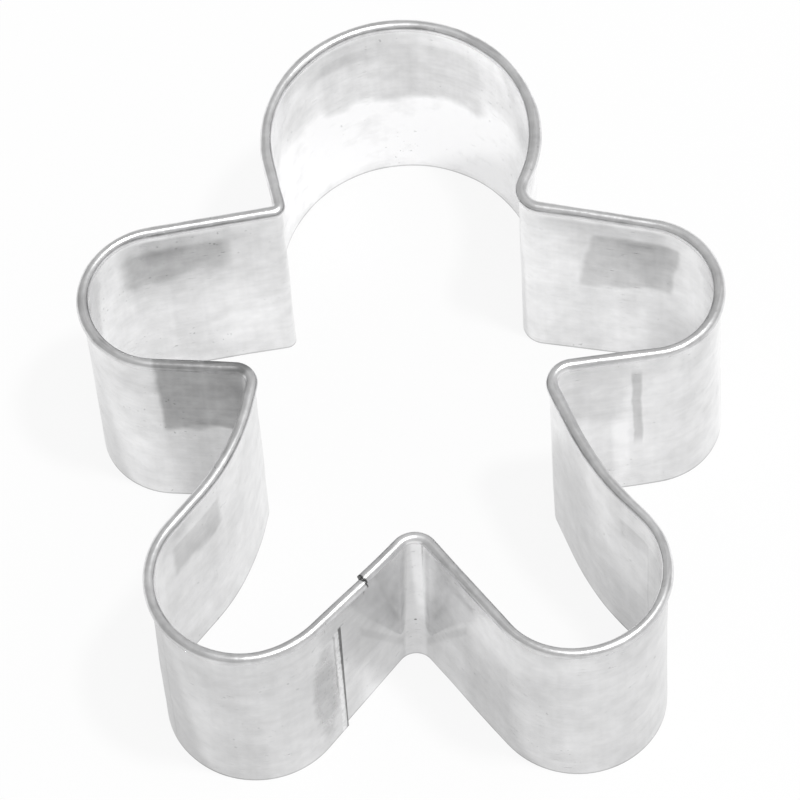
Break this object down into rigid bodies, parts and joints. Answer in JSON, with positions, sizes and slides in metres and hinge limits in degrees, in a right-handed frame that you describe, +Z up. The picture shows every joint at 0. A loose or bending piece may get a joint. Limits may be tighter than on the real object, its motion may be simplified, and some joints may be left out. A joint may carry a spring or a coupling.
{
  "type": "cookie cutter",
  "caption": "Open cookie cutter in a gingerbread figure's outline: a bent metal strip with a rolled rim, lapped on one leg and spot-welded.",
  "frame": {"origin": "on the cutting edge's plane, under the middle of the cutter", "axes": "+Z up from the cutting edge to the rolled rim, +Y to the top of the head, +X across the arms"},
  "size_m": [0.0622, 0.0706, 0.025],
  "materials": {
    "tinned_steel": "bright tin plate with soft reflections and light scuffs",
    "weld_steel": "dull grey where the tin has burnt off"
  },
  "bodies": {
    "root": {"cutter_strip": "tinned_steel", "spot_weld_lower": "weld_steel", "spot_weld_middle": "weld_steel", "spot_weld_upper": "weld_steel"}
  },
  "joints": []
}
